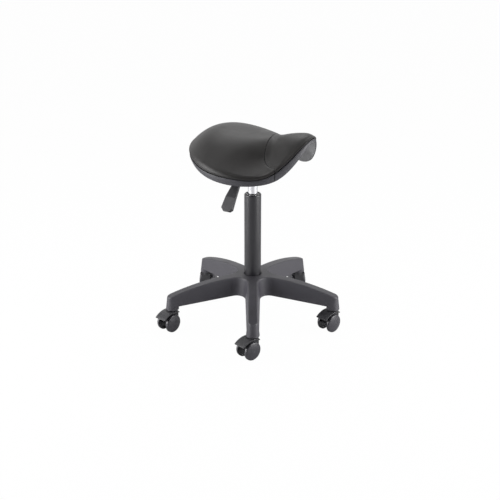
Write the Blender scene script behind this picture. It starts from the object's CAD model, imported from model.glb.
"""Looks of the rolling saddle stool: upholstery, finishes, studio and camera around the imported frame.

Metres. The frame's origin is on the floor under the column, +Z is up and the seat's front is -Y.
"""
import logging
from dataclasses import dataclass, field
from enum import Enum
from math import atan, atan2, cos, exp, hypot, pi, radians, sin
from typing import Sequence

import bmesh
import bpy
from mathutils import Matrix, Vector
from mathutils.bvhtree import BVHTree


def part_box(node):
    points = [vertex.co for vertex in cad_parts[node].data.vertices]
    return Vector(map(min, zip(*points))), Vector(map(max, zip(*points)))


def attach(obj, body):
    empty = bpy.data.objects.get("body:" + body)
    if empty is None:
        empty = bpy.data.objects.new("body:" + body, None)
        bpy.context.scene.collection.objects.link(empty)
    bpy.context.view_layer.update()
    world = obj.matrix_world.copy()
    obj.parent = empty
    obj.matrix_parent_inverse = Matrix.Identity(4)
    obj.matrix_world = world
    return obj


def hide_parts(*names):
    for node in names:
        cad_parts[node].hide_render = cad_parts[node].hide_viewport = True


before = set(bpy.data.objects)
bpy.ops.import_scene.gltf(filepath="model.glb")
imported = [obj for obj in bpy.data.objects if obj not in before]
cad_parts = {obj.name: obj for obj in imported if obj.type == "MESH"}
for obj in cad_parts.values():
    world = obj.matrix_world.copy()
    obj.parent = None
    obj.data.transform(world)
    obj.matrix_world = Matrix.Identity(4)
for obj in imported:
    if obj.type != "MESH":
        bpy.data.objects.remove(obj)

log = logging.getLogger("stool")
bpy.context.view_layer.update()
WELD = 1e-5
Color = tuple[float, float, float]
Span = tuple[float, float]
Box = tuple[Sequence[float], Sequence[float]]
Socket = bpy.types.NodeSocket
Material = bpy.types.Material
Piece = bpy.types.Object


def hump(value: float, centre: float, spread: float) -> float:
    """A smooth bump of height 1 round a centre."""
    return exp(-((value - centre) / spread) ** 2)


class Side(Enum):
    """The sitter's two sides, as signs along X."""

    LEFT = 1.0
    RIGHT = -1.0


class NodeBoard:
    """A node tree, with short calls that add and join its nodes."""

    def __init__(self, tree: bpy.types.NodeTree) -> None:
        """Start on a node tree.

        Args:
            tree: the tree.
        """
        self.tree = tree

    def add(self, kind: str, **settings: object) -> bpy.types.Node:
        """Add a node.

        Args:
            kind: the node's type name.
            settings: attributes to set on the node.

        Returns:
            The new node.
        """
        node = self.tree.nodes.new(kind)
        for key, value in settings.items():
            setattr(node, key, value)
        return node

    def join(self, source: Socket, target: Socket) -> None:
        """Link an output to an input."""
        self.tree.links.new(source, target)

    def remap(self, source: Socket, span: Span, onto: Span = (0.0, 1.0)) -> Socket:
        """Move a value from one range onto another, held at its ends.

        Args:
            source: the value.
            span: the range that is read.
            onto: the range that it becomes.

        Returns:
            The moved value.
        """
        node = self.add("ShaderNodeMapRange")
        for name, value in zip(("From Min", "From Max", "To Min", "To Max"), span + onto):
            node.inputs[name].default_value = value
        self.join(source, node.inputs["Value"])
        return node.outputs["Result"]

    def math(self, operation: str, first: Socket, second: Socket | float) -> Socket:
        """Join two values by arithmetic.

        Args:
            operation: the math node's operation.
            first: a value.
            second: another value, or a number.

        Returns:
            The result.
        """
        node = self.add("ShaderNodeMath", operation=operation)
        self.join(first, node.inputs[0])
        if isinstance(second, (int, float)):
            node.inputs[1].default_value = second
        else:
            self.join(second, node.inputs[1])
        return node.outputs["Value"]


class FinishBoard(NodeBoard):
    """One material's node tree, with the textures and colours of its finish."""

    def __init__(self, name: str) -> None:
        """Start a material with its principled shader.

        Args:
            name: the material's name.
        """
        self.material = bpy.data.materials.new(name)
        self.material.use_nodes = True
        super().__init__(self.material.node_tree)
        self.shader = self.tree.nodes["Principled BSDF"]
        self.place = self.add("ShaderNodeTexCoord").outputs["Object"]

    def noise(self, size: float, detail: float = 3.0, stretch: Color = (1.0, 1.0, 1.0)) -> Socket:
        """Soft noise on the object's own coordinates.

        Args:
            size: width of the noise's features in metres.
            detail: octaves of finer noise.
            stretch: scale along each axis, below 1 to draw the noise out.

        Returns:
            The noise's value, from 0 to 1.
        """
        mapping = self.add("ShaderNodeMapping")
        mapping.inputs["Scale"].default_value = stretch
        self.join(self.place, mapping.inputs["Vector"])
        texture = self.add("ShaderNodeTexNoise")
        texture.inputs["Scale"].default_value = 1.0 / size
        texture.inputs["Detail"].default_value = detail
        self.join(mapping.outputs["Vector"], texture.inputs["Vector"])
        return texture.outputs["Fac"]

    def cells(self, size: float) -> Socket:
        """Rounded cells like pebbled leather grain.

        Args:
            size: width of a cell in metres.

        Returns:
            Distance from each cell's centre.
        """
        texture = self.add("ShaderNodeTexVoronoi", feature="SMOOTH_F1")
        texture.inputs["Scale"].default_value = 1.0 / size
        self.join(self.place, texture.inputs["Vector"])
        return texture.outputs["Distance"]

    def mix(self, amount: Socket, low: Color | Socket, high: Color) -> Socket:
        """Blend two colours.

        Args:
            amount: share of the second colour.
            low: the first colour, or a socket that gives it.
            high: the second colour.

        Returns:
            The blended colour.
        """
        node = self.add("ShaderNodeMix", data_type="RGBA")
        self.join(amount, node.inputs["Factor"])
        if isinstance(low, tuple):
            node.inputs[6].default_value = (*low, 1.0)
        else:
            self.join(low, node.inputs[6])
        node.inputs[7].default_value = (*high, 1.0)
        return node.outputs[2]

    def attribute(self, name: str) -> Socket:
        """The value of a vertex attribute."""
        return self.add("ShaderNodeAttribute", attribute_name=name).outputs["Fac"]

    def soft_edges(self, radius: float) -> Socket:
        """Normals rounded over a piece's hard edges.

        Args:
            radius: radius of the rounding in metres.

        Returns:
            The rounded normal.
        """
        node = self.add("ShaderNodeBevel", samples=6)
        node.inputs["Radius"].default_value = radius
        return node.outputs["Normal"]

    def edge_wear(self, rounded: Socket) -> Socket:
        """How far a rounded normal leans from the true one, which is where edges wear.

        Args:
            rounded: the rounded normal.

        Returns:
            A value from 0 on flats to 1 on edges.
        """
        dot = self.add("ShaderNodeVectorMath", operation="DOT_PRODUCT")
        self.join(rounded, dot.inputs[0])
        self.join(self.add("ShaderNodeNewGeometry").outputs["True Normal"], dot.inputs[1])
        return self.remap(dot.outputs["Value"], (0.99, 0.75))

    def facing_up(self) -> Socket:
        """How far a surface faces upwards."""
        parts = self.add("ShaderNodeSeparateXYZ")
        self.join(self.add("ShaderNodeNewGeometry").outputs["Normal"], parts.inputs["Vector"])
        return self.remap(parts.outputs["Z"], (0.2, 1.0))

    def bump(self, height: Socket, depth: float, base: Socket | None = None) -> Socket:
        """Raise a surface by a height.

        Args:
            height: the height, from 0 to 1.
            depth: the height's size in metres.
            base: a normal to start from.

        Returns:
            The raised normal.
        """
        node = self.add("ShaderNodeBump")
        node.inputs["Distance"].default_value = depth
        self.join(height, node.inputs["Height"])
        if base is not None:
            self.join(base, node.inputs["Normal"])
        return node.outputs["Normal"]

    def finish(self, color: Socket, roughness: Socket, normal: Socket,
               **sockets: float) -> Material:
        """Join a finish to the shader.

        Args:
            color: the base colour.
            roughness: the roughness.
            normal: the normal.
            sockets: numbers for the shader's other sockets, with underscores for spaces.

        Returns:
            The finished material.
        """
        self.join(color, self.shader.inputs["Base Color"])
        self.join(roughness, self.shader.inputs["Roughness"])
        self.join(normal, self.shader.inputs["Normal"])
        for name, value in sockets.items():
            self.shader.inputs[name.replace("_", " ")].default_value = value
        return self.material


@dataclass(frozen=True)
class Leatherette:
    """Coated upholstery cloth with a pebbled grain, drawn in along its sewn seam."""

    name: str
    color: Color
    worn: Color
    roughness: Span
    gloss: float = 0.36
    grain: float = 0.0016
    grain_depth: float = 0.00022
    pucker_pitch: float = 0.0062
    pucker_depth: float = 0.00012
    pucker_reach: float = 0.010
    seam_line: float = 0.0010
    sewn: Color = (0.002, 0.002, 0.002)
    cloud: float = 0.06
    pucker_patch: float = 0.03

    def material(self) -> Material:
        """The finish's material.

        Returns:
            A material that reads the piece's seam_gap and seam_run attributes.
        """
        board = FinishBoard(self.name)
        clouds = board.noise(self.cloud, 4.0)
        gap = board.attribute("seam_gap")
        sewn = board.remap(gap, (self.seam_line / 3, self.seam_line), (1.0, 0.0))
        plain = board.mix(board.remap(clouds, (0.35, 0.7)), self.color, self.worn)
        color = board.mix(sewn, plain, self.sewn)
        cells = board.cells(self.grain)
        fine = board.noise(self.grain / 3, 2.0)
        grain = board.math("ADD", cells, board.math("MULTIPLY", fine, 0.35))
        run = board.attribute("seam_run")
        wave = board.math("SINE", board.math("MULTIPLY", run, 2 * pi / self.pucker_pitch), 0.0)
        near = board.remap(gap, (0.0, self.pucker_reach), (1.0, 0.0))
        uneven = board.remap(board.noise(self.pucker_patch, 1.0), (0.35, 0.65), (0.2, 1.0))
        pucker = board.math("MULTIPLY", board.math("MULTIPLY", wave, near), uneven)
        creased = board.bump(pucker, self.pucker_depth)
        normal = board.bump(grain, self.grain_depth, creased)
        sheen = board.math("ADD", clouds, board.math("MULTIPLY", cells, 0.4))
        rough = board.math("MAXIMUM", board.remap(sheen, (0.3, 1.0), self.roughness), sewn)
        return board.finish(color, rough, normal, Specular_IOR_Level=self.gloss)


@dataclass(frozen=True)
class MouldedPlastic:
    """Moulded plastic with a spark-eroded texture, another tone on its tops and rubbed edges."""

    name: str
    color: Color
    topside: Color
    rubbed: Color
    roughness: Span
    texture: float = 0.0011
    texture_depth: float = 0.00012
    edge: float = 0.0014
    cloud: float = 0.045

    def material(self) -> Material:
        """The finish's material."""
        board = FinishBoard(self.name)
        rounded = board.soft_edges(self.edge)
        clouds = board.noise(self.cloud, 4.0)
        upper = board.math("MULTIPLY", board.facing_up(), board.remap(clouds, (0.3, 0.7), (0.35, 1.0)))
        patches = board.remap(clouds, (0.35, 0.6), (0.2, 1.0))
        rub = board.math("MULTIPLY", board.edge_wear(rounded), patches)
        color = board.mix(rub, board.mix(upper, self.color, self.topside), self.rubbed)
        spark = board.noise(self.texture, 2.0)
        rough = board.remap(board.math("ADD", clouds, spark), (0.6, 1.4), self.roughness)
        return board.finish(color, rough, board.bump(spark, self.texture_depth, rounded))


@dataclass(frozen=True)
class PowderCoat:
    """Satin paint on steel, with faint orange peel and rubbed edges."""

    name: str
    color: Color
    faded: Color
    rubbed: Color
    roughness: Span
    peel: float = 0.0035
    peel_depth: float = 0.00006
    edge: float = 0.0008
    coat: float = 0.15
    coat_roughness: float = 0.2
    cloud: float = 0.08

    def material(self) -> Material:
        """The finish's material."""
        board = FinishBoard(self.name)
        rounded = board.soft_edges(self.edge)
        clouds = board.noise(self.cloud, 4.0)
        patches = board.remap(clouds, (0.45, 0.65), (0.0, 0.8))
        rub = board.math("MULTIPLY", board.edge_wear(rounded), patches)
        fade = board.remap(clouds, (0.3, 0.75))
        color = board.mix(rub, board.mix(fade, self.color, self.faded), self.rubbed)
        peel = board.noise(self.peel, 2.0)
        rough = board.remap(clouds, (0.3, 0.7), self.roughness)
        normal = board.bump(peel, self.peel_depth, rounded)
        return board.finish(color, rough, normal, Coat_Weight=self.coat, Coat_Roughness=self.coat_roughness)


@dataclass(frozen=True)
class BareMetal:
    """Bare or plated metal with drawn or turned marks."""

    name: str
    color: Color
    dulled: Color
    roughness: Span
    stretch: Color = (1.0, 1.0, 0.04)
    mark: float = 0.0012
    mark_depth: float = 0.00002
    edge: float = 0.0005
    cloud: float = 0.03

    def material(self) -> Material:
        """The finish's material."""
        board = FinishBoard(self.name)
        rounded = board.soft_edges(self.edge)
        clouds = board.noise(self.cloud, 4.0)
        marks = board.noise(self.mark, 3.0, self.stretch)
        color = board.mix(board.remap(clouds, (0.4, 0.8)), self.color, self.dulled)
        rough = board.remap(board.math("ADD", clouds, marks), (0.6, 1.4), self.roughness)
        return board.finish(color, rough, board.bump(marks, self.mark_depth, rounded), Metallic=1.0)


@dataclass(frozen=True)
class Plain:
    """A soft or fibrous solid, such as rubber, board, wood or thread."""

    name: str
    color: Color
    streak: Color
    roughness: Span
    fibre: float
    fibre_depth: float
    stretch: Color = (1.0, 1.0, 1.0)

    def material(self) -> Material:
        """The finish's material."""
        board = FinishBoard(self.name)
        fibres = board.noise(self.fibre, 4.0, self.stretch)
        clouds = board.noise(self.fibre * 14, 3.0)
        color = board.mix(board.remap(fibres, (0.3, 0.7)), self.color, self.streak)
        rough = board.remap(board.math("ADD", clouds, fibres), (0.6, 1.4), self.roughness)
        return board.finish(color, rough, board.bump(fibres, self.fibre_depth))


@dataclass(frozen=True)
class Finishes:
    """Every finish on the stool."""

    cover: Leatherette = Leatherette(
        "seat_leatherette", (0.0122, 0.0112, 0.0110), (0.0166, 0.0154, 0.0151), (0.40, 0.52), gloss=0.32)
    band: Leatherette = Leatherette(
        "band_leatherette", (0.037, 0.0362, 0.042), (0.047, 0.0462, 0.053), (0.42, 0.54),
        pucker_depth=0.00005)
    nylon: MouldedPlastic = MouldedPlastic(
        "base_nylon", (0.038, 0.0362, 0.044), (0.024, 0.023, 0.0275), (0.07, 0.068, 0.074), (0.46, 0.60))
    hood: MouldedPlastic = MouldedPlastic(
        "hood_nylon", (0.015, 0.0145, 0.017), (0.022, 0.0215, 0.0245), (0.055, 0.054, 0.059), (0.38, 0.52))
    wheel: MouldedPlastic = MouldedPlastic(
        "wheel_nylon", (0.027, 0.0258, 0.0315), (0.033, 0.0318, 0.038), (0.055, 0.054, 0.059), (0.28, 0.42),
        texture=0.0022, texture_depth=0.00005)
    paddle: MouldedPlastic = MouldedPlastic(
        "paddle_plastic", (0.024, 0.0233, 0.0268), (0.016, 0.0155, 0.0178), (0.07, 0.069, 0.074),
        (0.40, 0.55), texture=0.0016, texture_depth=0.0002)
    shell: MouldedPlastic = MouldedPlastic(
        "shell_plastic", (0.030, 0.030, 0.033), (0.04, 0.04, 0.044), (0.08, 0.08, 0.085), (0.45, 0.60))
    acetal: MouldedPlastic = MouldedPlastic(
        "acetal", (0.55, 0.55, 0.53), (0.60, 0.60, 0.58), (0.66, 0.66, 0.64), (0.30, 0.42))
    steel: PowderCoat = PowderCoat(
        "black_powder_coat", (0.0085, 0.0081, 0.0106), (0.0120, 0.0115, 0.0145), (0.10, 0.10, 0.10),
        (0.34, 0.44))
    chrome: BareMetal = BareMetal("column_chrome", (0.80, 0.80, 0.82), (0.74, 0.74, 0.77), (0.05, 0.10))
    zinc: BareMetal = BareMetal("zinc_plate", (0.62, 0.62, 0.61), (0.48, 0.48, 0.46), (0.26, 0.40))
    brass: BareMetal = BareMetal("turned_brass", (0.70, 0.52, 0.24), (0.55, 0.38, 0.16), (0.25, 0.38))
    rubber: Plain = Plain(
        "bumper_rubber", (0.018, 0.018, 0.018), (0.030, 0.030, 0.030), (0.60, 0.78), 0.002, 0.0001)
    lining: Plain = Plain(
        "lining_board", (0.16, 0.16, 0.163), (0.20, 0.20, 0.203), (0.70, 0.85), 0.0009, 0.0002)
    plywood: Plain = Plain(
        "mounting_plywood", (0.44, 0.29, 0.15), (0.58, 0.42, 0.25), (0.50, 0.66), 0.004, 0.00012,
        stretch=(0.06, 1.0, 1.0))
    thread: Plain = Plain(
        "seam_thread", (0.016, 0.016, 0.017), (0.040, 0.040, 0.042), (0.50, 0.65), 0.0004, 0.0001)


def dress(material: Material, *names: str) -> None:
    """Give CAD nodes a material.

    Args:
        material: the material.
        names: the nodes.
    """
    for name in names:
        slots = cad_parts[name].data.materials
        slots.clear()
        slots.append(material)
        log.info("dressed %s in %s", name, material.name)


def new_piece(name: str, shape: bmesh.types.BMesh, material: Material, body: str) -> Piece:
    """Make an object from a finished bmesh and let it ride on a body.

    Args:
        name: the piece's name.
        shape: its bmesh, which is freed.
        material: its material.
        body: the CAD body that it moves with.

    Returns:
        The new object.
    """
    mesh = bpy.data.meshes.new(name)
    shape.to_mesh(mesh)
    shape.free()
    mesh.shade_smooth()
    mesh.materials.append(material)
    piece = bpy.data.objects.new(name, mesh)
    bpy.context.scene.collection.objects.link(piece)
    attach(piece, body)
    log.info("built %s", name)
    return piece


@dataclass
class SaddleForm:
    """The saddle's plan and height over a pole on the cross seam, in turns from the front."""

    pole_forward: float = 0.069
    plan_radius: float = 0.1623
    plan_taper: float = 0.0712
    plan_waist: float = 0.0180
    plan_blunt: float = 0.0013
    pole_height: float = 0.5880
    dish: float = 0.0103
    crown_drop: float = 0.0480
    saddle_bend: float = 0.1111
    horn_rise: float = 0.0310
    horn_twist: float = 0.0065
    rim_ease: float = 0.0772
    seam_edge_turn: float = radians(61.5)
    seam_bend_power: float = 2.4
    rear_trim: float = 0.0030
    rear_corner: float = radians(152.0)
    rear_corner_spread: float = radians(20.0)
    rear_lift: float = 0.0030
    rear_spread: float = radians(35.0)
    nose_push: float = 0.0035
    nose_spread: float = 0.5
    crest_ease: float = 0.0032
    crest_forward: float = 0.157
    crest_length: float = 0.024
    crest_width: float = 0.050
    valley_fill: float = 0.0024
    valley_forward: float = 0.110
    valley_length: float = 0.022
    flank_slope: float = 0.070
    flank_from: float = 0.55
    flank_turn: float = radians(88.0)
    flank_spread: float = radians(34.0)
    lean_step: float = 0.02

    def reach(self, turn: float) -> float:
        """Distance from the pole to the rim at a turn."""
        blunt = self.nose_push * hump(turn, 0.0, self.nose_spread)
        trim = self.rear_trim * hump(abs(turn), self.rear_corner, self.rear_corner_spread)
        return (self.plan_radius - self.plan_taper * cos(turn) + self.plan_waist * cos(2 * turn)
                + self.plan_blunt * cos(3 * turn) + blunt - trim)

    def height(self, share: float, turn: float) -> float:
        """Height of the top at a share of the way to the rim."""
        bend = self.saddle_bend * cos(2 * turn) - self.crown_drop
        horn = self.horn_rise * cos(turn) + self.horn_twist * cos(3 * turn)
        rim = self.rear_lift * hump(abs(turn), pi, self.rear_spread) - self.rim_ease * cos(2 * turn)
        forward = self.pole_forward + self.reach(turn) * share * cos(turn)
        aside = self.reach(turn) * share * sin(turn)
        crest = (self.valley_fill * hump(forward, self.valley_forward, self.valley_length)
                 - self.crest_ease * hump(forward, self.crest_forward, self.crest_length))
        outer = max(share - self.flank_from, 0.0) / (1.0 - self.flank_from)
        flank = self.flank_slope * (1.0 - share) * outer**2
        flank *= hump(abs(turn), self.flank_turn, self.flank_spread)
        return (self.pole_height - self.dish * cos(turn) * share + bend * share**2 + horn * share**3
                + rim * share**4 + flank + crest * hump(aside, 0.0, self.crest_width))

    def lean(self, turn: float) -> float:
        """Angle below level at which the top meets the rim."""
        fall = self.height(1.0 - self.lean_step, turn) - self.height(1.0, turn)
        return atan(max(fall, 0.0) / (self.lean_step * self.reach(turn)))

    def seam_turn(self, share: float) -> float:
        """Turn of the cross seam at a share of the way to the rim."""
        return pi / 2 + (self.seam_edge_turn - pi / 2) * share**self.seam_bend_power

    def point(self, share: float, turn: float, out: float = 0.0, drop: float = 0.0) -> Vector:
        """A point on the top, or outside the rim.

        Args:
            share: share of the way from the pole to the rim.
            turn: angle from the seat's front, to the sitter's left.
            out: distance beyond the rim.
            drop: distance below the top.

        Returns:
            The point in the frame.
        """
        reach = self.reach(turn) * share + out
        forward = self.pole_forward + reach * cos(turn)
        return Vector((reach * sin(turn), -forward, self.height(share, turn) - drop))


@dataclass
class SaddleSeat:
    """The upholstered saddle: a stuffed two-panel top, a side band, stitches and a hard underside."""

    finishes: Finishes
    form: SaddleForm = field(default_factory=SaddleForm)
    spokes: int = 120
    top_rings: int = 24
    roll_rings: int = 6
    roll_out: float = 0.0072
    roll_drop: float = 0.0130
    rear_roll: float = 0.0095
    rear_roll_from: float = radians(100.0)
    rear_roll_to: float = radians(135.0)
    horn_roll_trim: float = 0.0045
    horn_roll_spread: float = 0.55
    roll_end: float = radians(128.0)
    roll_lean_cap: float = radians(45.0)
    tuck: float = 0.0050
    pad_depth: float = 0.020
    seam_groove: float = 0.0016
    seam_width: float = 0.0009
    swell_room: float = 0.0010
    swell_cap: float = 0.0010
    swell_pressure: float = 4.0
    swell_frames: int = 20
    swell_fade: float = 0.02
    held_ring: float = 1.6
    cloth_quality: int = 6
    cloth_stretch: float = 40.0
    cloth_bend: float = 8.0
    band_height: float = 0.0240
    band_corner_gain: float = 0.0045
    band_tip_trim: float = 0.0165
    band_tip_spread: float = 0.38
    band_near_trim: float = 0.0035
    band_near_turn: float = radians(78.0)
    band_near_spread: float = radians(22.0)
    band_rear_trim: float = 0.0030
    band_rear_turn: float = radians(157.0)
    band_rear_spread: float = radians(18.0)
    band_draw: float = 0.0028
    band_front_flare: float = 0.0043
    band_bulge: float = 0.0007
    stitch_length: float = 0.0028
    stitch_pitch: float = 0.0038
    stitch_width: float = 0.0003
    stitch_offset: float = 0.0035
    first_stitch: int = 2
    edge_stitch_drop: float = 0.0036
    rim_inset: float = 0.0030
    rim_rise: float = 0.0020
    rim_slope: float = 0.35
    pan_thickness: float = 0.0022
    lining_thickness: float = 0.0012
    lining_drop: float = 0.0020
    block_gap: float = 0.0015
    probe: float = 0.1

    def build(self) -> None:
        """Make and dress every piece of the seat."""
        cushion = self._cushion()
        self._swell(cushion)
        self._crease(cushion)
        self._refine(cushion, 2)
        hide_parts("foam_pad", "seat_front_panel", "seat_rear_panel")
        band = self._band()
        self._refine(band, 2)
        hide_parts("seat_side_band")
        self._stitches(cushion, band)
        plastic = self.finishes.shell.material()
        board = self.finishes.lining.material()
        pan = self._underside("seat_pan", plastic, 0.0, self.pan_thickness)
        lining = self._underside("seat_lining", board, self.lining_drop,
                                 self.lining_thickness)
        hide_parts("seat_shell")
        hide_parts("underside_liner")

    def _spun(self, stops: Sequence[float], closed: bool) -> bmesh.types.BMesh:
        """Turn a flat line of vertices once round the pole.

        Args:
            stops: distances of the vertices from the pole, which name their rings.
            closed: whether the line's last vertex joins its first.

        Returns:
            The flat spun shape.
        """
        shape = bmesh.new()
        line = [shape.verts.new((stop, 0.0, 0.0)) for stop in stops]
        pairs = list(zip(line, line[1:]))
        if closed:
            pairs.append((line[-1], line[0]))
        edges = [shape.edges.new(pair) for pair in pairs]
        bmesh.ops.spin(shape, geom=line + edges, cent=(0, 0, 0), axis=(0, 0, 1), angle=2 * pi,
                       steps=self.spokes, use_merge=True)
        return shape

    def _turn(self, flat_turn: float, share: float) -> float:
        """Turn a spoke so that one on each side lies along the cross seam, with a close pair beside it.

        Args:
            flat_turn: the spoke's turn on the flat shape, from -pi to pi.
            share: share of the way to the rim.

        Returns:
            The spoke's turn on the seat.
        """
        side = 1.0 if flat_turn >= 0 else -1.0
        seam = self.form.seam_turn(min(share, 1.0))
        step = 4.0 / self.spokes
        beside = self.seam_width / max(share * self.form.reach(seam), self.seam_width)
        flat = abs(flat_turn) / (pi / 2)
        if flat <= 1.0:
            beside = min(beside, seam * step)
            inner = min(flat / (1.0 - step), 1.0) * (seam - beside)
            turn = seam if flat > 1.0 - step / 2 else inner
        else:
            rest = pi - seam
            beside = min(beside, rest * step)
            inner = min((2.0 - flat) / (1.0 - step), 1.0) * (rest - beside)
            turn = seam if flat < 1.0 + step / 2 else pi - inner
        return side * turn

    def _roll_depth(self, turn: float) -> float:
        """How far the rolled edge hangs below the rim at a turn."""
        way = (abs(turn) - self.rear_roll_from) / (self.rear_roll_to - self.rear_roll_from)
        rear = 0.5 - 0.5 * cos(pi * min(max(way, 0.0), 1.0))
        return (self.roll_drop + self.rear_roll * rear
                - self.horn_roll_trim * hump(turn, 0.0, self.horn_roll_spread))

    def _roll_point(self, way: float, turn: float) -> Vector:
        """A point on the rolled edge, which carries on from the slope of the top.

        Args:
            way: share of the way round the roll.
            turn: angle from the seat's front.

        Returns:
            The point.
        """
        lean = min(self.form.lean(turn), self.roll_lean_cap)
        bend = lean + (self.roll_end - lean) * way
        out = self.roll_out * (sin(bend) - sin(lean)) / (1.0 - sin(lean))
        drop = self._roll_depth(turn) * (cos(lean) - cos(bend)) / (cos(lean) - cos(self.roll_end))
        return self.form.point(1.0, turn, out, drop)

    def _band_depth(self, turn: float) -> float:
        """Height of the band at a turn."""
        trim = (self.band_tip_trim * hump(turn, 0.0, self.band_tip_spread)
                + self.band_near_trim * hump(abs(turn), self.band_near_turn, self.band_near_spread)
                + self.band_rear_trim * hump(abs(turn), self.band_rear_turn, self.band_rear_spread))
        hem = self.band_height - self.band_corner_gain * cos(4 * turn) - trim
        return hem + self.roll_drop - self._roll_depth(turn)

    def _cushion_point(self, ring: float, turn: float, share: float) -> Vector:
        """Place a vertex of the cushion.

        Args:
            ring: the ring's distance on the flat shape: top to 1, roll to 2, tuck to 3, bottom to 4.
            turn: the spoke's turn on the seat.
            share: share of the way to the rim.

        Returns:
            The vertex's place.
        """
        if ring <= 1.0:
            return self.form.point(share, turn)
        if ring <= 2.0:
            return self._roll_point(ring - 1.0, turn)
        if ring <= 3.0:
            inward = Vector((-sin(turn), cos(turn), 0.0))
            return self._roll_point(1.0, turn) + inward * self.tuck * (ring - 2.0)
        return self.form.point(share, turn, 0.0, self.pad_depth)

    def _cushion(self) -> Piece:
        """The stuffed top before it swells.

        Returns:
            The cushion's object, with its seam's distances in attributes.
        """
        stops = [sin(pi / 2 * ring / self.top_rings) for ring in range(self.top_rings + 1)]
        stops += [1.0 + ring / self.roll_rings for ring in range(1, self.roll_rings + 1)]
        stops += [2.5, 3.0, 3.2, 3.5, 3.8, 4.0]
        shape = self._spun(stops, closed=False)
        seam_gap = shape.verts.layers.float.new("seam_gap")
        seam_run = shape.verts.layers.float.new("seam_run")
        seam_line = shape.verts.layers.float.new("seam_line")
        held = shape.verts.layers.float.new("held")
        step = 2 * pi / self.spokes
        for vert in shape.verts:
            ring = hypot(vert.co.x, vert.co.y)
            flat_turn = atan2(vert.co.y, vert.co.x)
            share = min(ring, 1.0) if ring <= 3.0 else 4.0 - ring
            turn = self._turn(flat_turn, share)
            on_seam = abs(abs(flat_turn) - pi / 2) < step / 2
            seam = self.form.seam_turn(share)
            vert.co = self._cushion_point(ring, turn, share)
            vert[seam_run] = share * self.form.reach(seam)
            vert[seam_gap] = abs(abs(turn) - seam) * share * self.form.reach(seam)
            vert[seam_line] = 1.0 if on_seam and ring <= 2.0 else 0.0
            vert[held] = 1.0 if on_seam or ring > self.held_ring or ring < stops[2] else 0.0
            if not vert[held]:
                vert.co.z -= self.swell_room * min(1.0, vert[seam_gap] / self.swell_fade)
        bmesh.ops.remove_doubles(shape, verts=shape.verts, dist=WELD)
        bmesh.ops.recalc_face_normals(shape, faces=shape.faces)
        return new_piece("seat_cushion", shape, self.finishes.cover.material(), "seat")

    def _swell(self, cushion: Piece) -> None:
        """Stuff the cushion: press its cover outwards as cloth held along the seams.

        Args:
            cushion: the cushion, whose mesh is moved.
        """
        mesh = cushion.data
        held = cushion.vertex_groups.new(name="held")
        for index, value in enumerate(mesh.attributes["held"].data):
            held.add([index], value.value, "REPLACE")
        cloth = cushion.modifiers.new("stuffing", "CLOTH")
        cloth.settings.quality = self.cloth_quality
        cloth.settings.vertex_group_mass = "held"
        cloth.settings.use_pressure = True
        cloth.settings.uniform_pressure_force = self.swell_pressure
        cloth.settings.effector_weights.gravity = 0.0
        cloth.settings.tension_stiffness = self.cloth_stretch
        cloth.settings.compression_stiffness = self.cloth_stretch
        cloth.settings.bending_stiffness = self.cloth_bend
        cloth.collision_settings.use_collision = False
        scene = bpy.context.scene
        for number in range(1, self.swell_frames + 1):
            scene.frame_set(number)
        swollen = cushion.evaluated_get(bpy.context.evaluated_depsgraph_get())
        places = [vert.co.copy() for vert in swollen.data.vertices]
        cushion.modifiers.remove(cloth)
        scene.frame_set(1)
        largest = 0.0
        for vert, place in zip(mesh.vertices, places):
            move = place - vert.co
            largest = max(largest, move.length)
            if move.length > self.swell_cap:
                move *= self.swell_cap / move.length
            vert.co += move
        cushion.vertex_groups.clear()
        log.info("stuffing moved the cover by up to %.1f mm, held to %.1f mm",
                 largest * 1000, self.swell_cap * 1000)

    def _crease(self, cushion: Piece) -> None:
        """Draw the cover in along the cross seam.

        Args:
            cushion: the cushion, whose mesh is moved.
        """
        mesh = cushion.data
        normals = [vert.normal.copy() for vert in mesh.vertices]
        for vert, normal, line in zip(mesh.vertices, normals, mesh.attributes["seam_line"].data):
            vert.co -= normal * self.seam_groove * line.value
        mesh.update()

    def _refine(self, piece: Piece, levels: int) -> None:
        """Smooth a piece by subdivision.

        Args:
            piece: the piece.
            levels: how many times its faces are divided.
        """
        smooth = piece.modifiers.new("smooth", "SUBSURF")
        smooth.levels = levels
        smooth.render_levels = levels

    def _band(self) -> Piece:
        """The band round the side, from under the rolled edge to the shell's lip.

        Returns:
            The band's object.
        """
        # Each point is a distance outside the roll's widest line and a share of the band's height.
        profile = ((-0.0040, 0.03), (-0.0018, 0.04), (-0.0003, 0.13), (self.band_bulge, 0.5),
                   (0.0002, 0.90), (-0.0012, 1.0), (-0.0040, 1.0), (-0.0045, 0.85), (-0.0045, 0.15))
        outer_face = range(1, 5)
        first_ring = 10.0
        shape = self._spun([first_ring + index for index in range(len(profile))], closed=True)
        gap_layer = shape.verts.layers.float.new("seam_gap")
        run_layer = shape.verts.layers.float.new("seam_run")
        step = 2 * pi / self.spokes
        for vert in shape.verts:
            index = round(hypot(vert.co.x, vert.co.y) - first_ring)
            flat_turn = atan2(vert.co.y, vert.co.x)
            turn = self._turn(flat_turn, 1.0)
            out, share = profile[index]
            height = self._band_depth(turn)
            draw = self.band_draw - self.band_front_flare * cos(turn)
            if abs(abs(flat_turn) - pi / 2) < step / 2 and index in outer_face:
                out -= self.seam_groove / 2
            vert.co = self.form.point(1.0, turn, self.roll_out + out - draw * share,
                                      self._roll_depth(turn) + height * share)
            aside = abs(abs(turn) - self.form.seam_edge_turn) * self.form.reach(turn)
            vert[gap_layer] = min(height * share, aside)
            vert[run_layer] = abs(turn) * self.form.reach(turn)
        bmesh.ops.recalc_face_normals(shape, faces=shape.faces)
        return new_piece("seat_band", shape, self.finishes.band.material(), "seat")

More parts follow.
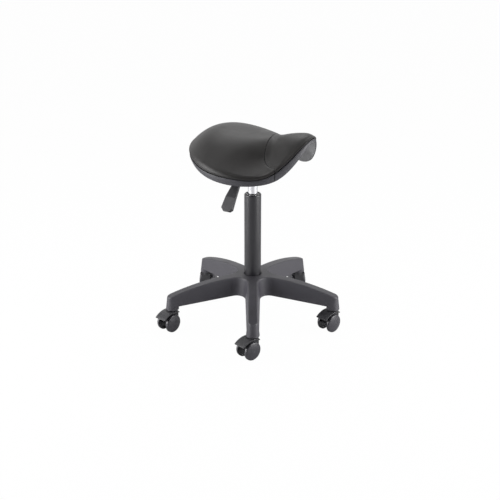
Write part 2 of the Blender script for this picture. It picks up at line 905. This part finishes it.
    def _band_foot(self, turn: float) -> Vector:
        """The lower edge of the band's face at a turn."""
        draw = self.band_draw - self.band_front_flare * cos(turn)
        drop = self._roll_depth(turn) + self._band_depth(turn)
        return self.form.point(1.0, turn, self.roll_out - draw, drop)

    def _underside(self, name: str, material: Material, drop: float,
                   thickness: float) -> Piece:
        """A sheet under the seat that ends behind the band, open where the mounting block is.

        Args:
            name: the piece's name.
            material: its material.
            drop: how far its face lies below the shell's.
            thickness: its thickness, upwards from its face.

        Returns:
            The sheet's object.
        """
        shell = BVHTree.FromObject(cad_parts["seat_shell"], bpy.context.evaluated_depsgraph_get())
        low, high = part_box("mounting_block")
        stops = [sin(pi / 2 * ring / self.top_rings) for ring in range(self.top_rings + 1)]
        shape = self._spun(stops, closed=False)
        for vert in shape.verts:
            share = hypot(vert.co.x, vert.co.y)
            vert.co = self._underside_point(shell, (low, high), share, atan2(vert.co.y, vert.co.x))
            vert.co.z -= drop
        bmesh.ops.remove_doubles(shape, verts=shape.verts, dist=WELD)
        covered = [face for face in shape.faces if all(
            low[0] < vert.co.x < high[0] and low[1] < vert.co.y < high[1] for vert in face.verts)]
        bmesh.ops.delete(shape, geom=covered, context="FACES")
        bmesh.ops.recalc_face_normals(shape, faces=shape.faces)
        if sum(face.normal.z for face in shape.faces) > 0.0:
            bmesh.ops.reverse_faces(shape, faces=shape.faces)
        sheet = new_piece(name, shape, material, "seat")
        wall = sheet.modifiers.new("wall", "SOLIDIFY")
        wall.thickness = thickness
        wall.offset = -1.0
        return sheet

    def _underside_point(self, shell: BVHTree, block: Box, share: float, turn: float) -> Vector:
        """A point of the hard underside, which rises to the band's lower edge at the rim.

        Args:
            shell: the CAD shell's surface.
            block: the mounting block's box.
            share: share of the way from the pole to the rim.
            turn: angle from the seat's front.

        Returns:
            The point.
        """
        foot = self._band_foot(turn)
        pole = Vector((0.0, -self.form.pole_forward, foot.z))
        edge = foot - (foot - pole).normalized() * self.rim_inset
        place = pole.lerp(edge, share)
        spot = self._beside_block(place, block)
        below = Vector((spot.x, spot.y, foot.z - self.probe))
        under = shell.ray_cast(below, Vector((0.0, 0.0, 1.0)), 2 * self.probe)[0]
        place.z = foot.z + self.rim_rise - self.rim_slope * (edge - place).length
        if under is not None:
            place.z = max(place.z, under.z)
        return place

    def _beside_block(self, place: Vector, block: Box) -> Vector:
        """Move a place that lies under the mounting block to the nearest place beside it.

        Args:
            place: the place.
            block: the mounting block's box.

        Returns:
            The same place if it is clear of the block, or the nearest one that is.
        """
        low, high = block
        moves = []
        for axis in range(2):
            for edge, way in ((low[axis], -1.0), (high[axis], 1.0)):
                moved = place.copy()
                moved[axis] = edge + way * self.block_gap
                moves.append((way * (edge - place[axis]), moved))
        depth, beside = min(moves, key=lambda move: move[0])
        return beside if depth > -self.block_gap else place

    def _stitches(self, cushion: Piece, band: Piece) -> None:
        """Rows of thread beside the cross seam and along the band's sewn edge.

        Args:
            cushion: the cushion that the cross seam's stitches lie on.
            band: the band that the edge's stitches lie on.
        """
        graph = bpy.context.evaluated_depsgraph_get()
        cover = BVHTree.FromObject(cushion, graph)
        side_cover = BVHTree.FromObject(band, graph)
        shape = bmesh.new()
        bead = bmesh.new()
        bmesh.ops.create_uvsphere(bead, u_segments=8, v_segments=6, radius=1.0)
        bead.verts.index_update()
        thread_share = self.stitch_length / self.stitch_pitch
        edge_reach = self.form.reach(self.form.seam_edge_turn)
        step = self.stitch_pitch / edge_reach
        for side in Side:
            for number in range(self.first_stitch, int(1.0 / step)):
                first = self._beside_seam(number * step, side)
                second = self._beside_seam((number + thread_share) * step, side)
                self._stitch(shape, bead, cover, first, second)
        turn = -pi
        while turn < pi:
            step = self.stitch_pitch / self.form.reach(turn)
            first = self._below_edge(turn)
            second = self._below_edge(turn + step * thread_share)
            self._stitch(shape, bead, side_cover, first, second)
            turn += step
        bead.free()
        new_piece("seat_stitches", shape, self.finishes.thread.material(), "seat")

    def _stitch(self, shape: bmesh.types.BMesh, bead: bmesh.types.BMesh, cover: BVHTree, first: Vector,
                second: Vector) -> None:
        """Lay one stitch on a surface.

        Args:
            shape: the bmesh that the stitch is added to.
            bead: the stitch's form, a ball of radius 1.
            cover: the surface.
            first: a point near one end of the stitch.
            second: a point near its other end.
        """
        middle, normal = cover.find_nearest((first + second) / 2)[:2]
        along = (second - first).normalized()
        across = normal.cross(along).normalized()
        up = along.cross(across)
        turn = Matrix((along, across, up)).transposed().to_4x4()
        size = Matrix.Diagonal((self.stitch_length / 2, self.stitch_width, self.stitch_width, 1.0))
        place = Matrix.Translation(middle + normal * self.stitch_width / 4)
        matrix = place @ turn @ size
        verts = [shape.verts.new(matrix @ vert.co) for vert in bead.verts]
        for face in bead.faces:
            shape.faces.new([verts[vert.index] for vert in face.verts])

    def _below_edge(self, turn: float) -> Vector:
        """A point on the band a little below its sewn edge."""
        return self.form.point(1.0, turn, self.roll_out, self._roll_depth(turn) + self.edge_stitch_drop)

    def _beside_seam(self, share: float, side: Side) -> Vector:
        """A point on the front panel beside the cross seam.

        Args:
            share: share of the way to the rim.
            side: the sitter's side that it is on.

        Returns:
            The point.
        """
        turn = self.form.seam_turn(share)
        turn -= self.stitch_offset / max(share * self.form.reach(turn), self.stitch_offset)
        return self.form.point(share, side.value * turn)


@dataclass
class SeatMechanism:
    """The plate, channel and socket under the seat, with their fasteners and the release lever."""

    finishes: Finishes

    def build(self) -> None:
        """Dress the mechanism's nodes."""
        steel = self.finishes.steel.material()
        zinc = self.finishes.zinc.material()
        dress(steel, "mechanism_top_plate", "mechanism_channel", "taper_socket", "lever_arm")
        dress(zinc, "seat_bolts", "lock_washers", "lever_pivot_pin", "release_button")
        dress(self.finishes.brass.material(), "threaded_inserts")
        dress(self.finishes.plywood.material(), "mounting_block")
        dress(self.finishes.paddle.material(), "lever_paddle")


@dataclass
class GasLift:
    """The stand tube, the chrome column and what works inside them."""

    finishes: Finishes

    def build(self) -> None:
        """Dress the gas lift's nodes."""
        dress(self.finishes.steel.material(), "stand_tube")
        dress(self.finishes.chrome.material(), "pressure_tube")
        dress(self.finishes.acetal.material(), "guide_bush", "piston", "rod_gland", "bearing_cage")
        dress(self.finishes.rubber.material(), "stop_bumper")
        dress(self.finishes.zinc.material(), "piston_rod", "bearing_balls", "lower_bearing_washer",
              "upper_bearing_washer", "clip_washer", "retaining_clip")


@dataclass
class RollingBase:
    """The five-star base and its twin-wheel casters."""

    finishes: Finishes
    casters: int = 5

    def build(self) -> None:
        """Dress the base and each caster."""
        hood = self.finishes.hood.material()
        wheel = self.finishes.wheel.material()
        zinc = self.finishes.zinc.material()
        dress(self.finishes.nylon.material(), "five_star_base")
        dress(zinc, "caster_stems", "caster_grip_rings")
        for number in range(1, self.casters + 1):
            dress(hood, f"caster_{number}_hood")
            dress(zinc, f"caster_{number}_axle")
            dress(wheel, f"caster_{number}_left_wheel", f"caster_{number}_right_wheel")


@dataclass(frozen=True)
class SoftBox:
    """A soft light, placed to the right of the camera's target, beyond it and above it."""

    name: str
    aside: float
    away: float
    lift: float
    size: tuple[float, float]
    power: float

    def hang(self, target: Vector, right: Vector, away: Vector, up: Vector) -> None:
        """Hang the light and face it to the target.

        Args:
            target: the point that the camera looks at.
            right: the camera's right, level.
            away: the camera's way forward, level.
            up: upwards.
        """
        light = bpy.data.lights.new(self.name, "AREA")
        light.shape = "RECTANGLE"
        light.size, light.size_y = self.size
        light.energy = self.power
        offset = right * self.aside + away * self.away + up * self.lift
        holder = bpy.data.objects.new(self.name, light)
        holder.location = target + offset
        holder.rotation_euler = offset.to_track_quat("Z", "Y").to_euler()
        bpy.context.scene.collection.objects.link(holder)


@dataclass
class Studio:
    """A white sweep, soft boxes and the photograph's camera."""

    floor_size: float = 40.0
    floor_color: Color = (0.55, 0.55, 0.56)
    floor_glow: float = 0.985
    floor_mirror: float = 0.15
    sky_light: float = 0.45
    dim_side: float = 0.12
    bright_side: float = 1.25
    sweep_tilt: float = -0.35
    sweep_span: Span = (-0.3, 0.75)
    boxes: tuple[SoftBox, ...] = (
        SoftBox("left_box", aside=-1.7303, away=-0.4961, lift=0.5, size=(1.3, 1.7), power=64.0),
        SoftBox("right_box", aside=1.7303, away=-0.4961, lift=0.5, size=(1.2, 1.6), power=56.0),
        SoftBox("top_box", aside=0.0, away=1.0, lift=2.2, size=(1.6, 1.2), power=30.0),
    )
    view_turn: float = radians(29.0)
    view_lift: float = radians(22.72)
    view_distance: float = 3.066
    view_height: float = 0.2206
    view_side: float = -0.008
    focal_pixels: float = 1026.7
    image_pixels: float = 500.0
    sensor: float = 36.0

    def build(self) -> None:
        """Set up the sweep, the lights and the camera."""
        self._floor()
        self._sky()
        right = Vector((sin(self.view_turn), -cos(self.view_turn), 0.0))
        away = Vector((cos(self.view_turn), sin(self.view_turn), 0.0))
        up = Vector((0.0, 0.0, 1.0))
        target = right * self.view_side + up * self.view_height
        for box in self.boxes:
            box.hang(target, right, away, up)
        camera = bpy.data.cameras.new("photo_camera")
        camera.sensor_width = self.sensor
        camera.lens = self.focal_pixels / self.image_pixels * self.sensor
        holder = bpy.data.objects.new("photo_camera", camera)
        bpy.context.scene.collection.objects.link(holder)
        back = away * -cos(self.view_lift) + up * sin(self.view_lift)
        holder.location = target + back * self.view_distance
        holder.rotation_euler = back.to_track_quat("Z", "Y").to_euler()
        bpy.context.scene.camera = holder
        bpy.context.scene.view_settings.view_transform = "Standard"

    def _seen(self, board: NodeBoard, mirror: float) -> Socket:
        """Whether a ray comes from the camera, a reflection or clear material.

        Args:
            board: the node tree to add to.
            mirror: the share for reflections.

        Returns:
            1 for camera and clear rays, the share for reflections and 0 for the rest.
        """
        path = board.add("ShaderNodeLightPath").outputs
        mirrored = board.math("MULTIPLY", path["Is Glossy Ray"], mirror)
        seen = board.math("MAXIMUM", path["Is Camera Ray"], mirrored)
        return board.math("MAXIMUM", seen, path["Is Transmission Ray"])

    def _floor(self) -> None:
        """A pale floor that is nearly white to the camera and keeps the stool's shadow."""
        shape = bmesh.new()
        bmesh.ops.create_grid(shape, x_segments=1, y_segments=1, size=self.floor_size / 2)
        mesh = bpy.data.meshes.new("floor")
        shape.to_mesh(mesh)
        shape.free()
        material = bpy.data.materials.new("studio_floor")
        material.use_nodes = True
        board = NodeBoard(material.node_tree)
        board.tree.nodes.clear()
        matte = board.add("ShaderNodeBsdfDiffuse")
        matte.inputs["Color"].default_value = (*self.floor_color, 1.0)
        glow = board.add("ShaderNodeEmission")
        share = board.math("MULTIPLY", self._seen(board, self.floor_mirror), self.floor_glow)
        blend = board.add("ShaderNodeMixShader")
        board.join(share, blend.inputs["Fac"])
        board.join(matte.outputs["BSDF"], blend.inputs[1])
        board.join(glow.outputs["Emission"], blend.inputs[2])
        output = board.add("ShaderNodeOutputMaterial")
        board.join(blend.outputs["Shader"], output.inputs["Surface"])
        mesh.materials.append(material)
        floor = bpy.data.objects.new("floor", mesh)
        bpy.context.scene.collection.objects.link(floor)

    def _sky(self) -> None:
        """A surround that is white to the camera and lights the stool softly, most from behind it."""
        world = bpy.data.worlds.new("white_surround")
        world.use_nodes = True
        board = NodeBoard(world.node_tree)
        background = board.tree.nodes["Background"]
        background.inputs["Color"].default_value = (1.0, 1.0, 1.0, 1.0)
        towards = board.add("ShaderNodeVectorMath", operation="DOT_PRODUCT")
        towards.inputs[1].default_value = (cos(self.view_turn), sin(self.view_turn), self.sweep_tilt)
        board.join(board.add("ShaderNodeTexCoord").outputs["Generated"], towards.inputs[0])
        sweep = board.remap(towards.outputs["Value"], self.sweep_span, (self.dim_side, self.bright_side))
        mirrored = board.remap(self._seen(board, 1.0), (0.0, 1.0), (self.sky_light, 1.0))
        lit = board.math("MULTIPLY", sweep, mirrored)
        strength = board.add("ShaderNodeMix")
        board.join(board.add("ShaderNodeLightPath").outputs["Is Camera Ray"], strength.inputs["Factor"])
        board.join(lit, strength.inputs[2])
        strength.inputs[3].default_value = 1.0
        board.join(strength.outputs["Result"], background.inputs["Strength"])
        bpy.context.scene.world = world


def main() -> None:
    """Build the stool's looks in order and set up the studio."""
    logging.basicConfig(level=logging.INFO, format="%(message)s")
    finishes = Finishes()
    dressed = [kind(finishes) for kind in (SaddleSeat, SeatMechanism, GasLift, RollingBase)]
    for assembly in (*dressed, Studio()):
        assembly.build()
        log.info("finished %s", type(assembly).__name__)


if __name__ == "__main__":
    main()
